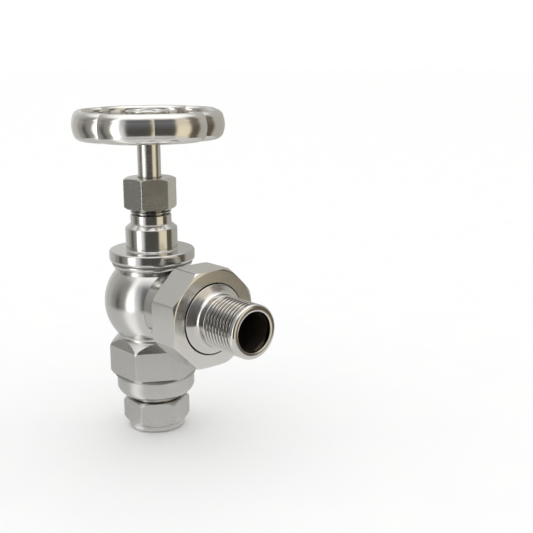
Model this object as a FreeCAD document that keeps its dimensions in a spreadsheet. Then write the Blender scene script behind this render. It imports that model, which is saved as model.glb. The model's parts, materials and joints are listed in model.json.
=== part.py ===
"""Manual angle radiator valve with a lobed handwheel, 15 mm pipe to a 1/2 inch radiator tail.

Frame: millimetres, +Z up along the spindle, origin at the mouth of the pipe socket (the bottom of the
compression nut), +X along the radiator tail. The valve is drawn closed.
"""

import FreeCAD, Part
import math
import os

import Sketcher
from FreeCAD import Placement, Rotation, Vector

# Driving dimensions: alias, value in millimetres, meaning. Heights are above the pipe socket's mouth.
DIMENSIONS = [
    ("fit_gap", 0.1, "gap between curved faces that are screwed or pushed together"),
    ("run_gap", 0.08, "radial clearance of a face that turns or slides in another"),
    ("edge_rounding", 0.45, "rounding of the edges between a hexagon's flats"),
    # pipe side
    ("pipe_bore", 7.6, "radius of the socket for 15 mm pipe"),
    ("half_inch_crest", 10.4775, "G1/2 thread: crest radius"),
    ("half_inch_pitch", 1.814, "G1/2 thread: pitch"),
    ("inlet_low", 4.6, "bottom of the body's inlet stub"),
    ("pipe_stop", 19.0, "height at which the pipe stops in the body"),
    ("waterway", 6.6, "radius of the way up to the seat"),
    ("olive_radius", 8.55, "largest radius of the olive"),
    ("clamp_corner", 13.9, "compression nut: radius over corners (24 mm across flats)"),
    ("clamp_collar", 11.4, "compression nut: radius of the round collar at its mouth"),
    ("clamp_height", 12.6, "compression nut: height"),
    ("clamp_turn", -2.6, "compression nut: angle at which it came tight, degrees"),
    # body
    ("ring_radius", 16.15, "round ring under the body's hexagon"),
    ("ring_low", 15.0, "underside of the ring"),
    ("hexagon_low", 22.6, "top of the ring, where the hexagon begins to widen"),
    ("hexagon_corner", 18.8, "body's hexagon: radius over corners"),
    ("hexagon_dome", 34.6, "height at which the hexagon's corners begin to round over"),
    ("flats_top", 36.1, "top of the hexagon's upright flats"),
    ("waist_radius", 14.33, "radius of the crease between hexagon and bulb"),
    ("bulb_radius", 20.05, "radius of the bulb, a ball about the point where both axes cross"),
    ("neck_radius", 15.3, "outer radius of the neck"),
    ("neck_rim", 16.5, "radius of the rim round the neck's top"),
    ("neck_top", 71.2, "top face of the neck"),
    ("neck_bore", 11.6, "radius of the neck's hole for the bonnet"),
    ("cavity_arc", 19.0, "radius of the cavity's outline"),
    ("seat_height", 46.2, "height of the seat"),
    ("seat_radius", 8.3, "outer radius of the seat's land"),
    # outlet side, lengths from the spindle's axis
    ("outlet_height", 54.7, "height of the outlet's axis"),
    ("outlet_bore", 8.0, "radius of the outlet's bore"),
    ("boss_end", 34.0, "end face of the body's outlet boss"),
    ("boss_neck", 14.6, "radius of the boss behind its thread"),
    ("one_inch_crest", 16.5, "crest radius of the boss's union thread"),
    ("one_inch_pitch", 2.309, "pitch of the union thread"),
    ("union_back", 25.9, "union nut: back face"),
    ("union_face", 40.3, "union nut: front face"),
    ("union_flat", 19.0, "union nut: half of its 38 mm across flats"),
    ("union_rounding", 1.1, "union nut: rounding of the edges between its flats"),
    ("lip_thickness", 3.0, "union nut: thickness of its lip"),
    ("union_lip", 14.08, "union nut: radius of the hole in its lip"),
    ("collar_radius", 13.75, "tail: collar that fills the union nut's lip"),
    ("flange_radius", 15.0, "tail: flange held behind the lip"),
    ("tail_bore", 7.85, "tail: radius of its bore"),
    ("tail_neck", 10.25, "tail: plain neck between collar and thread"),
    ("tail_end", 64.0, "tail: end face"),
    ("lug_flat", 7.1, "tail: distance of the key lugs' flats from the axis"),
    # bonnet
    ("gasket_thickness", 0.5, "bonnet gasket"),
    ("bonnet_low", 62.0, "bottom of the bonnet"),
    ("bonnet_flange", 17.45, "radius of the bonnet's flange"),
    ("flange_top", 76.45, "top face of the flange"),
    ("barrel_radius", 10.6, "radius of the bonnet's cylinder"),
    ("barrel_top", 85.3, "top of that cylinder"),
    ("collar_low", 87.3, "bottom of the collar above the cone"),
    ("three_eighths_crest", 8.33, "G3/8 thread: crest radius"),
    ("three_eighths_pitch", 1.337, "G3/8 thread: pitch"),
    ("bonnet_top", 99.6, "top of the bonnet's collar"),
    ("box_radius", 6.6, "radius of the stuffing box"),
    ("box_floor", 92.2, "floor of the stuffing box"),
    ("gland_low", 93.3, "gland nut: bottom"),
    ("gland_height", 12.5, "gland nut: height"),
    ("gland_thread", 8.3, "gland nut: depth of its threaded bore"),
    ("gland_corner", 10.95, "gland nut: radius over corners (19 mm across flats)"),
    ("gland_turn", 7.1, "gland nut: angle at which it came tight, degrees"),
    # moving parts
    ("spindle_radius", 4.67, "spindle above its thread"),
    ("screw_radius", 6.0, "crest radius of the spindle's thread"),
    ("screw_pitch", 1.5, "pitch of the spindle's thread"),
    ("screw_low", 64.5, "bottom of the spindle's thread"),
    ("screw_top", 79.5, "top of the spindle's thread"),
    ("button_radius", 2.6, "button on the spindle's lower end"),
    ("button_low", 51.0, "bottom of the button"),
    ("button_neck", 1.7, "neck above the button"),
    ("disc_radius", 8.9, "disc holder"),
    ("washer_radius", 8.2, "seat washer"),
    ("washer_thickness", 2.2, "seat washer"),
    ("square_low", 123.5, "bottom of the spindle's square"),
    ("square_flat", 3.3, "half of the square's width across flats"),
    ("spindle_top", 130.8, "top of the spindle"),
    # handwheel, heights from its own underside
    ("wheel_low", 121.3, "underside of the handwheel's rim"),
    ("wheel_height", 11.4, "height of the rim"),
    ("wheel_radius", 31.0, "radius of the handwheel over its lobes"),
    ("wheel_turn", 15.0, "angle of the first spoke, degrees"),
    ("lobe_radius", 19.0, "radius of one lobe's outer face"),
    ("rim_thickness", 5.2, "thickness of the rim"),
    ("hub_radius", 10.0, "hub"),
    ("hub_top", 9.55, "top of the hub"),
    ("spoke_width", 6.4, "spoke"),
    ("spoke_height", 4.4, "spoke"),
    ("plate_radius", 8.75, "dished plate on the hub"),
    ("plate_floor", 0.9, "thickness of the plate in the middle, under the screw's head"),
]
LOBES = 8
SPOKES = 4
MIDDLE = 0.5 * 360 / LOBES  # angle from a spoke to the middle of the next lobe

doc = FreeCAD.newDocument("radiator_valve")
sheet = doc.addObject("Spreadsheet::Sheet", "Sizes")


class Size:
    """A length or angle that carries its value and the spreadsheet expression that gives it."""

    def __init__(self, value, text):
        self.value = value
        self.text = text

    def __add__(self, other):
        other = as_size(other)
        return Size(self.value + other.value, f"({self.text} + {other.text})")

    def __sub__(self, other):
        other = as_size(other)
        return Size(self.value - other.value, f"({self.text} - {other.text})")

    def __mul__(self, other):
        other = as_size(other)
        return Size(self.value * other.value, f"({self.text} * {other.text})")

    def __neg__(self):
        return self * -1

    __radd__ = __add__
    __rmul__ = __mul__

    def __rsub__(self, other):
        return as_size(other) - self


def root(square):
    """Square root of a size."""
    return Size(math.sqrt(square.value), f"sqrt({square.text})")


def as_size(number):
    """Give a plain number the same form as a size from the sheet."""
    if isinstance(number, Size):
        return number
    return Size(float(number), f"({float(number):.6f})")


class Sheet:
    """The driving dimensions, each an attribute with its alias as its name."""


def fill_sheet():
    """Write the driving dimensions into the spreadsheet and return them by name."""
    sizes = Sheet()
    for row, (alias, value, meaning) in enumerate(DIMENSIONS, start=1):
        sheet.set(f"A{row}", meaning)
        sheet.set(f"B{row}", str(value))
        sheet.setAlias(f"B{row}", alias)
        setattr(sizes, alias, Size(value, f"Sizes.{alias}"))
    doc.recompute()
    return sizes


d = fill_sheet()


# ---- sketches and features -------------------------------------------------------------------------


def origin_feature(body, role):
    """One of a body's own origin planes or axes."""
    return next(f for f in body.Origin.OriginFeatures if f.Role == role)


def new_body(label):
    body = doc.addObject("PartDesign::Body", label)
    body.Label = label
    return body


def place(body, height=0, along=0, turn=0, sideways=False):
    """Set a body's place: its height, its distance along +X, and its turn about its own axis in degrees."""
    spin = Rotation(Vector(0, 0, 1), as_size(turn).value)
    if sideways:
        spin = Rotation(Vector(0, 1, 0), 90) * spin
    body.Placement = Placement(Vector(as_size(along).value, 0, as_size(height).value), spin)
    body.setExpression(".Placement.Base.x", as_size(along).text)
    body.setExpression(".Placement.Base.z", as_size(height).text)


def new_sketch(body, name, role, shift=(0, 0, 0), turn=0):
    """A sketch on one of the body's origin planes, shifted along the plane's axes and turned about its Y."""
    sketch = body.newObject("Sketcher::SketchObject", f"{body.Label}_{name}")
    sketch.AttachmentSupport = [(origin_feature(body, role), "")]
    sketch.MapMode = "FlatFace"
    sketch.AttachmentOffset = Placement(Vector(0, 0, 0), Rotation(Vector(0, 1, 0), turn))
    for axis, amount in zip("xyz", shift):
        sketch.setExpression(f".AttachmentOffset.Base.{axis}", as_size(amount).text)
    return sketch


def bind(sketch, kind, *where_and_size):
    """Add a constraint whose size follows the sheet."""
    *where, size = where_and_size
    index = sketch.addConstraint(Sketcher.Constraint(kind, *where, size.value))
    sketch.setExpression(f"Constraints[{index}]", size.text)


def arc_between(start, end, radius):
    """The short arc from start to end: it turns left for a positive radius and right for a negative one."""
    chord = end - start
    rise = math.sqrt(radius * radius - chord.Length * chord.Length / 4)
    left = Vector(-chord.y, chord.x, 0).normalize()
    centre = (start + end) * 0.5 + left * math.copysign(rise, radius)
    first, last = (start, end) if radius > 0 else (end, start)
    angles = [math.atan2(p.y - centre.y, p.x - centre.x) for p in (first, last)]
    circle = Part.Circle(centre, Vector(0, 0, 1), abs(radius))
    return Part.ArcOfCircle(circle, angles[0], angles[1])


def draw_outline(sketch, outline):
    """Draw a closed outline. A point is (x, y), or (x, y, radius) when an arc leads to it."""
    points = [tuple(as_size(number) for number in point) for point in outline]
    places = [Vector(p[0].value, p[1].value, 0) for p in points]
    ends = []
    for i, point in enumerate(points):
        start, end = places[i - 1], places[i]
        if len(point) == 2:
            edge = sketch.addGeometry(Part.LineSegment(start, end), False)
            ends.append((edge, 1, 2))
            continue
        radius = point[2]
        edge = sketch.addGeometry(arc_between(start, end, radius.value), False)
        ends.append((edge, 1, 2) if radius.value > 0 else (edge, 2, 1))
        size = radius if radius.value > 0 else -radius
        bind(sketch, "Radius", edge, size)
    for i, point in enumerate(points):
        edge, _, tip = ends[i]
        following, tail, _ = ends[(i + 1) % len(ends)]
        sketch.addConstraint(Sketcher.Constraint("Coincident", edge, tip, following, tail))
        bind(sketch, "DistanceX", -1, 1, edge, tip, point[0])
        bind(sketch, "DistanceY", -1, 1, edge, tip, point[1])


def draw_circle(sketch, radius):
    """Draw a circle about the sketch's origin."""
    size = as_size(radius)
    edge = sketch.addGeometry(Part.Circle(Vector(0, 0, 0), Vector(0, 0, 1), size.value), False)
    sketch.addConstraint(Sketcher.Constraint("Coincident", edge, 3, -1, 1))
    bind(sketch, "Radius", edge, size)


def revolve(body, name, outline, **where):
    """Add a turned solid: the outline is (radius, height), revolved about the sketch's vertical axis."""
    sketch = new_sketch(body, f"{name}_outline", "XZ_Plane", **where)
    draw_outline(sketch, outline)
    feature = body.newObject("PartDesign::Revolution", f"{body.Label}_{name}")
    feature.Profile = sketch
    feature.ReferenceAxis = (sketch, ["V_Axis"])
    feature.Angle = 360
    doc.recompute()
    return feature


def revolve_sideways(body, kind, name, outline, height):
    """Add or cut a turned shape about a level axis along X: the outline is (length, radius)."""
    sketch = new_sketch(body, f"{name}_outline", "XZ_Plane", shift=(0, height, 0))
    draw_outline(sketch, outline)
    return turn_and_check(body, kind, name, sketch, "H_Axis")


def groove(body, name, outline):
    """Cut a turned shape: the outline is (radius, height)."""
    sketch = new_sketch(body, f"{name}_outline", "XZ_Plane")
    draw_outline(sketch, outline)
    return turn_and_check(body, "PartDesign::Groove", name, sketch, "V_Axis")


def turn_and_check(body, kind, name, sketch, axis):
    """Revolve a sketch into or out of the body, and make sure that the volume changed the right way."""
    before = body.Shape.Volume
    feature = body.newObject(kind, f"{body.Label}_{name}")
    feature.Profile = sketch
    feature.ReferenceAxis = (sketch, [axis])
    feature.Angle = 360
    doc.recompute()
    check_change(body, name, before, kind == "PartDesign::Groove")
    return feature


def check_change(body, name, before, is_cut):
    """Stop if a feature did nothing."""
    change = body.Shape.Volume - before
    if is_cut and change > -1e-3 or not is_cut and change < 1e-3:
        raise RuntimeError(f"{body.Label}: {name} changed the volume by {change:.4f}")


def pad(body, name, sketch, length):
    """Push a sketch out along its normal."""
    feature = body.newObject("PartDesign::Pad", f"{body.Label}_{name}")
    feature.Profile = sketch
    feature.setExpression("Length", as_size(length).text)
    doc.recompute()
    return feature


def pocket(body, name, sketch, depth, midplane=False):
    """Cut a sketch downwards from its plane, or by half the depth to each side of it."""
    before = body.Shape.Volume
    feature = body.newObject("PartDesign::Pocket", f"{body.Label}_{name}")
    feature.Profile = sketch
    feature.SideType = "Symmetric" if midplane else "One side"
    feature.setExpression("Length", as_size(depth).text)
    doc.recompute()
    check_change(body, name, before, True)
    return feature


def polar_pattern(body, name, count, feature=None):
    """Repeat one feature, or the whole body where none is named, about the body's vertical axis."""
    pattern = body.newObject("PartDesign::PolarPattern", f"{body.Label}_{name}")
    if feature is None:
        pattern.TransformMode = "Whole shape"
    else:
        pattern.Originals = [feature]
    pattern.Axis = (origin_feature(body, "Z_Axis"), [""])
    pattern.Angle = 360
    pattern.Occurrences = count
    body.Tip = pattern
    doc.recompute()


def polygon(sides, corner, turn=0, rounding=None):
    """Outline of a regular polygon, the first corner at the given angle in degrees, sharp or rounded."""
    half = math.pi / sides
    points = []
    for i in range(sides):
        angle = math.radians(turn) + 2 * half * i
        if rounding is None:
            points.append((corner * math.cos(angle), corner * math.sin(angle)))
            continue
        centre = corner - rounding * (1 / math.cos(half))
        first, last = [
            (
                centre * math.cos(angle) + rounding * math.cos(side),
                centre * math.sin(angle) + rounding * math.sin(side),
            )
            for side in (angle - half, angle + half)
        ]
        points += [first, (*last, rounding)]
    return points


def cut_flats(body, name, outline, corner, low, high):
    """Mill a round stretch between two heights to the given outline."""
    sketch = new_sketch(body, f"{name}_outline", "XY_Plane", shift=(0, 0, high))
    draw_circle(sketch, corner + 6)
    draw_outline(sketch, outline)
    pocket(body, name, sketch, high - low)


def fillet(body, name, edges, radius):
    """Round the edges that are full circles of the given radius and height."""
    wanted = []
    for index, edge in enumerate(body.Shape.Edges, start=1):
        for edge_radius, height in edges:
            if is_circle(body, edge, as_size(edge_radius).value, as_size(height).value):
                wanted.append(f"Edge{index}")
    if len(wanted) != len(edges):
        raise RuntimeError(f"{body.Label}: {name} found {len(wanted)} edges of {len(edges)}")
    rounded = body.Tip
    feature = body.newObject("PartDesign::Fillet", f"{body.Label}_{name}")
    feature.Base = (rounded, wanted)
    feature.Radius = radius
    doc.recompute()


def is_circle(body, edge, radius, height):
    """Whether an edge is a level circle about the body's axis."""
    curve = edge.Curve
    if curve.TypeId != "Part::GeomCircle" or abs(curve.Radius - radius) > 0.01:
        return False
    centre = body.Placement.inverse().multVec(curve.Center)
    return abs(centre.z - height) < 0.01 and math.hypot(centre.x, centre.y) < 0.01


def thread(crest, first, last, pitch, rising=True):
    """Outline points of a thread's grooves between two heights, drawn as rings with 55 degree flanks."""
    depth = pitch * 0.64
    land = pitch * (1 / 6)
    flank = (pitch - 2 * land) * 0.5
    count = int((last.value - first.value - land.value) / pitch.value)
    points = []
    for i in range(count):
        start = first + land + pitch * i
        points += [
            (crest, start),
            (crest - depth, start + flank),
            (crest - depth, start + flank + land),
            (crest, start + flank * 2 + land),
        ]
    return points if rising else [(r, first + last - h) for r, h in points]


# ---- fixed parts -----------------------------------------------------------------------------------


def make_valve_body():
    """Forged body: pipe stub, ring, hexagon, bulb and neck about the spindle, and the outlet boss."""
    body = new_body("valve_body")
    stub_end = d.inlet_low + 1.0
    dome = 4.0
    slope = dome * math.sqrt(0.5)
    waist = d.outlet_height - root(d.bulb_radius * d.bulb_radius - d.waist_radius * d.waist_radius)
    bulb_top = d.outlet_height + root(d.bulb_radius * d.bulb_radius - d.neck_radius * d.neck_radius)
    revolve(
        body,
        "forging",
        [
            (0, d.inlet_low),
            (d.half_inch_crest - 1.0, d.inlet_low),
            (d.half_inch_crest, stub_end),
            *thread(d.half_inch_crest, stub_end, d.ring_low - 0.1, d.half_inch_pitch),
            (d.half_inch_crest, d.ring_low),
            (d.ring_radius - 2.5, d.ring_low),
            (d.ring_radius, d.ring_low + 3.3, 5.5),
            (d.ring_radius, d.hexagon_low),
            (d.hexagon_corner, d.hexagon_low + 2.8),
            (d.hexagon_corner, d.hexagon_dome),
            (d.hexagon_corner - dome + slope, d.hexagon_dome + slope, dome),
            (d.waist_radius, waist),
            (d.neck_radius, bulb_top, d.bulb_radius),
            (d.neck_radius, d.neck_top - 2.1),
            (d.neck_rim, d.neck_top - 0.4, 2.6),
            (d.neck_rim, d.neck_top),
            (0, d.neck_top),
        ],
    )
    fillet(body, "waist", [(d.waist_radius, waist)], 1.5)
    hexagon = polygon(6, d.hexagon_corner, 0, d.edge_rounding)
    cut_flats(body, "hexagon", hexagon, d.hexagon_corner, d.hexagon_low, waist - 1.2)
    slope_hexagon_ends(body)

    thread_end = d.boss_end - 0.6
    boss_thread = thread(d.one_inch_crest, d.union_back + 0.6, thread_end, d.one_inch_pitch, False)
    boss_back = 9.0
    revolve_sideways(
        body,
        "PartDesign::Revolution",
        "boss",
        [
            (boss_back, 0),
            (d.boss_end, 0),
            (d.boss_end, d.one_inch_crest - 1.0),
            *[(x, r) for r, x in boss_thread],
            (d.union_back + 0.8, d.boss_neck),
            (boss_back, d.boss_neck),
        ],
        d.outlet_height,
    )
    groove(
        body,
        "cavity",
        [
            (0, d.inlet_low - 1),
            (d.pipe_bore + 1.6, d.inlet_low - 1),
            (d.pipe_bore + 1.6, d.inlet_low),
            (d.pipe_bore, d.inlet_low + 2.6),
            (d.pipe_bore, d.pipe_stop),
            (d.waterway, d.pipe_stop),
            (d.waterway, d.seat_height),
            (d.seat_radius, d.seat_height),
            (d.seat_radius + 1.0, d.seat_height - 2.6),
            (d.seat_radius + 5.1, d.seat_height - 2.6),
            (d.neck_bore + 3.4, d.neck_top - 7.0, d.cavity_arc),
            (d.neck_bore, d.neck_top - 4.6),
            (d.neck_bore, d.neck_top + 1),
            (0, d.neck_top + 1),
        ],
    )
    spigot_hole = d.one_inch_crest - 5.35
    spigot_floor = d.boss_end - 4.2
    revolve_sideways(
        body,
        "PartDesign::Groove",
        "outlet",
        [
            (0, 0),
            (d.boss_end + 1, 0),
            (d.boss_end + 1, spigot_hole),
            (spigot_floor, spigot_hole),
            (spigot_floor, d.outlet_bore),
            (0, d.outlet_bore),
        ],
        d.outlet_height,
    )
    place(body)


def slope_hexagon_ends(body):
    """Slope each flat of the body's hexagon in at its top and at its foot."""
    flat = d.hexagon_corner * math.cos(math.pi / 6)
    outside = flat + 6
    foot = d.hexagon_low + 0.1
    sketch = new_sketch(body, "slope_outline", "XZ_Plane", turn=30)
    draw_outline(
        sketch,
        [
            (flat, d.flats_top),
            (outside, d.flats_top),
            (outside, d.flats_top + 4.2),
            (flat - 1.25, d.flats_top + 4.2),
        ],
    )
    draw_outline(
        sketch,
        [
            (flat - 0.1, foot),
            (outside, foot),
            (outside, foot + 1.6),
            (flat, foot + 1.6),
            (flat - 0.7, foot + 1.0),
        ],
    )
    cut = pocket(body, "slope", sketch, outside * 2, midplane=True)
    polar_pattern(body, "slopes", 6, cut)


def make_bonnet():
    """Bonnet: spigot in the neck, flange, cylinder, cone and threaded collar with the stuffing box."""
    body = new_body("bonnet")
    seat = d.neck_top + d.gasket_thickness
    spigot = d.neck_bore - d.fit_gap
    bore = d.screw_radius + d.run_gap
    guide = d.spindle_radius + d.run_gap
    foot = 0.8
    edge = 0.3
    revolve(
        body,
        "turning",
        [
            (bore, d.bonnet_low),
            (spigot - 0.8, d.bonnet_low),
            (spigot, d.bonnet_low + 0.8),
            (spigot, seat),
            (d.neck_rim + 0.2, seat),
            (d.bonnet_flange, seat + 1.2, 1.6),
            (d.bonnet_flange, d.flange_top - 0.9),
            (d.bonnet_flange - 0.9, d.flange_top, 0.9),
            (d.barrel_radius + foot, d.flange_top),
            (d.barrel_radius, d.flange_top + foot, -foot),
            (d.barrel_radius, d.barrel_top - edge),
            (d.barrel_radius - edge, d.barrel_top + edge, 0.8),
            (d.three_eighths_crest + edge, d.collar_low - edge),
            (d.three_eighths_crest, d.collar_low + edge, -0.8),
            *thread(d.three_eighths_crest, d.gland_low - 2.9, d.bonnet_top, d.three_eighths_pitch),
            (d.three_eighths_crest, d.bonnet_top - 0.5),
            (d.three_eighths_crest - 0.5, d.bonnet_top),
            (d.box_radius, d.bonnet_top),
            (d.box_radius, d.box_floor),
            (guide, d.box_floor),
            (guide, d.collar_low + 1.0),
            (bore, d.collar_low - 0.3),
        ],
    )
    place(body)


def make_ring(label, inner, outer, thickness, height):
    """A flat ring."""
    body = new_body(label)
    revolve(body, "ring", [(inner, 0), (outer, 0), (outer, thickness), (inner, thickness)])
    place(body, height)


def make_bonnet_gasket():
    """Flat gasket between the neck's top face and the bonnet's flange."""
    make_ring("bonnet_gasket", d.neck_bore + 0.3, d.neck_rim - 0.25, d.gasket_thickness, d.neck_top)


def make_packing():
    """Stuffing box: a washer on its floor, three packing rings, and the follower over them."""
    washer = 0.8
    rings = 3
    depth = 1.3
    inner = d.spindle_radius + 0.05
    outer = d.box_radius - 0.05
    make_ring("packing_washer", d.spindle_radius + d.fit_gap, d.box_radius - d.fit_gap, washer, d.box_floor)

    body = new_body("packing_rings")
    for i in range(rings):
        low = d.box_floor + washer + depth * i
        high = low + depth - 0.1
        revolve(body, f"ring_{i}", [(inner, low), (outer, low), (outer, high), (inner, high)])
    body.AllowCompound = True
    place(body)

    follower_low = d.box_floor + washer + depth * rings
    flange_low = d.bonnet_top + 1.0
    flange_top = d.gland_low + d.gland_thread
    flange = d.three_eighths_crest - 0.3
    guide = d.spindle_radius + 0.12
    follower = new_body("gland_follower")
    revolve(
        follower,
        "turning",
        [
            (guide, follower_low),
            (d.box_radius - d.fit_gap, follower_low),
            (d.box_radius - d.fit_gap, flange_low),
            (flange, flange_low),
            (flange, flange_top),
            (guide, flange_top),
        ],
    )
    place(follower)


def make_gland_nut():
    """Hexagon nut with a domed top, screwed on the bonnet's collar."""
    body = new_body("gland_nut")
    bore = d.three_eighths_crest + d.fit_gap
    spindle_hole = d.spindle_radius + 0.25
    revolve(
        body,
        "turning",
        [
            (bore, 0),
            (d.gland_corner - 1.0, 0),
            (d.gland_corner, 0.7),
            (d.gland_corner, d.gland_height - 0.9),
            (d.gland_corner - 2.5, d.gland_height, 4.0),
            (spindle_hole, d.gland_height),
            (spindle_hole, d.gland_thread),
            (bore, d.gland_thread),
        ],
    )
    hexagon = polygon(6, d.gland_corner, 0, d.edge_rounding)
    cut_flats(body, "hexagon", hexagon, d.gland_corner, 0, d.gland_height)
    place(body, d.gland_low, turn=d.gland_turn)


def make_compression_nut():
    """Hexagon nut with a round collar at its mouth, which squeezes the olive on the pipe."""
    body = new_body("compression_nut")
    bore = d.half_inch_crest + d.fit_gap
    bore_floor = d.inlet_low - 0.4
    collar_top = 2.1
    revolve(
        body,
        "turning",
        [
            (d.pipe_bore, 0),
            (d.clamp_collar - 0.4, 0),
            (d.clamp_collar, 0.4),
            (d.clamp_collar, collar_top),
            (d.clamp_corner, collar_top + 2.3),
            (d.clamp_corner, d.clamp_height - 1.4),
            (d.clamp_corner - 1.4, d.clamp_height),
            (bore, d.clamp_height),
            (bore, bore_floor),
            (d.pipe_bore + 1.6, bore_floor),
            (d.pipe_bore, 2.6),
        ],
    )
    hexagon = polygon(6, d.clamp_corner, 0, d.edge_rounding)
    cut_flats(body, "hexagon", hexagon, d.clamp_corner, collar_top, d.clamp_height)
    place(body, turn=d.clamp_turn)


def make_olive():
    """Brass ring with two cone ends between the compression nut and the body."""
    body = new_body("olive")
    revolve(
        body,
        "ring",
        [
            (d.pipe_bore, 0),
            (d.pipe_bore + 0.3, 0),
            (d.olive_radius, 1.0),
            (d.olive_radius, 1.9),
            (d.pipe_bore + 0.25, 3.4),
            (d.pipe_bore, 3.4),
        ],
    )
    place(body, 3.1)


def make_union_nut():
    """Eight-sided nut that pulls the tail's flange to the boss."""
    body = new_body("union_nut")
    corner = d.union_flat * (1 / math.cos(math.pi / 8))
    bore = d.one_inch_crest + d.fit_gap
    length = d.union_face - d.union_back
    thread_end = length - d.lip_thickness
    revolve(
        body,
        "turning",
        [
            (bore, 0),
            (corner - 0.7, 0),
            (corner, 0.9),
            (corner, length - 1.3),
            (d.union_flat - 0.15, length, 2.3),
            (d.union_lip + 0.3, length),
            (d.union_lip, length - 0.3),
            (d.union_lip, thread_end),
            (bore, thread_end),
        ],
    )
    cut_flats(body, "octagon", polygon(8, corner, 22.5, d.union_rounding), corner, 0, length)
    place(body, d.outlet_height, d.union_back, sideways=True)


def make_union_tail():
    """Tail for the radiator: seal spigot, held flange, collar, neck, thread and two key lugs."""
    body = new_body("union_tail")
    spigot = d.one_inch_crest - 5.5
    spigot_end = d.boss_end - 3.8
    seal_groove = spigot - 1.6
    groove_start = d.boss_end - 3.2
    groove_end = d.boss_end - 1.0
    lip_back = d.union_face - d.lip_thickness
    thread_start = d.union_face + 6.6
    revolve(
        body,
        "turning",
        [
            (d.tail_bore, spigot_end),
            (spigot, spigot_end),
            (spigot, groove_start),
            (seal_groove, groove_start),
            (seal_groove, groove_end),
            (spigot, groove_end),
            (spigot, d.boss_end),
            (d.flange_radius, d.boss_end),
            (d.flange_radius, lip_back),
            (d.collar_radius, lip_back),
            (d.collar_radius, d.union_face),
            (d.collar_radius - 0.35, d.union_face + 0.35),
            (d.tail_neck + 1.05, d.union_face + 2.2),
            (d.tail_neck, d.union_face + 3.7, -2.2),
            (d.tail_neck, thread_start - 0.4),
            (d.half_inch_crest, thread_start - 0.1),
            *thread(d.half_inch_crest, thread_start, d.tail_end - 2.0, d.half_inch_pitch),
            (d.half_inch_crest, d.tail_end - 1.0),
            (d.half_inch_crest - 0.8, d.tail_end, 1.3),
            (d.tail_bore + 0.4, d.tail_end),
            (d.tail_bore, d.tail_end - 0.4),
        ],
    )
    add_key_lugs(body)
    place(body, d.outlet_height, sideways=True)


def add_key_lugs(body):
    """Two flats in the tail's bore, which the stepped key turns, a little back from its end."""
    sketch = new_sketch(body, "lug_outline", "XY_Plane", shift=(0, 0, d.tail_end - 8.0))
    half_angle = math.acos(d.lug_flat.value / d.tail_bore.value)
    middle = math.radians(34)
    buried = d.tail_bore + 0.4
    first, last = [
        (radius * math.cos(angle), radius * math.sin(angle))
        for radius, angle in ((d.tail_bore, middle - half_angle), (d.tail_bore, middle + half_angle))
    ]
    outer_first = (buried * math.cos(middle - half_angle), buried * math.sin(middle - half_angle))
    outer_last = (buried * math.cos(middle + half_angle), buried * math.sin(middle + half_angle))
    draw_outline(sketch, [outer_first, (*outer_last, buried), last, first])
    lug = pad(body, "lug", sketch, 6.2)
    polar_pattern(body, "lugs", 2, lug)


def make_union_seal():
    """O-ring in the tail's groove."""
    seal = doc.addObject("Part::Torus", "union_seal")
    seal.Label = "union_seal"
    seal.setExpression("Radius1", (d.one_inch_crest - 6.25).text)
    seal.Radius2 = 0.8
    seal.Placement = Placement(Vector(0, 0, 0), Rotation(Vector(0, 1, 0), 90))
    seal.setExpression(".Placement.Base.x", (d.boss_end - 2.1).text)
    seal.setExpression(".Placement.Base.z", d.outlet_height.text)


# ---- moving parts ----------------------------------------------------------------------------------


def make_disc_group():
    """Disc holder with its washer, nut and clip, drawn from the seat upwards."""
    plate_low = d.washer_thickness
    plate_top = plate_low + 2.0
    socket_floor = d.button_low - d.seat_height - 0.1
    clip_low = socket_floor + 2.05
    clip_height = 0.9
    clip_top = clip_low + clip_height
    hub_top = clip_top + 0.8
    stud = 1.8
    hub = 4.8
    washer_recess = d.washer_radius + d.fit_gap
    socket = d.button_radius + 0.15
    clip_groove = 3.5
    clip_outer = 3.4
    clip_inner = d.button_neck + d.run_gap
    nut_corner = as_size(4.04)
    nut_height = 2.0

    holder = new_body("disc_holder")
    revolve(
        holder,
        "turning",
        [
            (0, -2.6),
            (stud, -2.6),
            (stud, plate_low),
            (washer_recess, plate_low),
            (washer_recess, plate_low - 1.0),
            (d.disc_radius, plate_low - 1.0),
            (d.disc_radius, plate_top - 0.4),
            (d.disc_radius - 0.4, plate_top),
            (hub, plate_top),
            (hub, hub_top),
            (socket, hub_top),
            (socket, clip_top + 0.05),
            (clip_groove, clip_top + 0.05),
            (clip_groove, clip_low - 0.05),
            (socket, clip_low - 0.05),
            (socket, socket_floor),
            (0, socket_floor),
        ],
    )
    place(holder, d.seat_height)

    make_ring("seat_washer", stud + d.fit_gap, d.washer_radius, d.washer_thickness, d.seat_height)

    nut = new_body("washer_nut")
    revolve(
        nut,
        "turning",
        [
            (stud + d.fit_gap, 0),
            (nut_corner - 0.4, 0),
            (nut_corner, 0.4),
            (nut_corner, nut_height - 0.4),
            (nut_corner - 0.4, nut_height),
            (stud + d.fit_gap, nut_height),
        ],
    )
    cut_flats(nut, "hexagon", polygon(6, nut_corner), nut_corner, 0, nut_height)
    place(nut, d.seat_height - nut_height)

    clip = new_body("retaining_clip")
    revolve(
        clip,
        "ring",
        [
            (clip_inner, 0),
            (clip_outer, 0),
            (clip_outer, clip_height),
            (clip_inner, clip_height),
        ],
    )
    sketch = new_sketch(clip, "gap_outline", "XY_Plane", shift=(0, 0, clip_height))
    gap = d.button_neck * 0.7
    draw_outline(sketch, [(0, -gap), (clip_outer + 1, -gap), (clip_outer + 1, gap), (0, gap)])
    pocket(clip, "gap", sketch, clip_height)
    place(clip, d.seat_height + clip_low)


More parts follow.
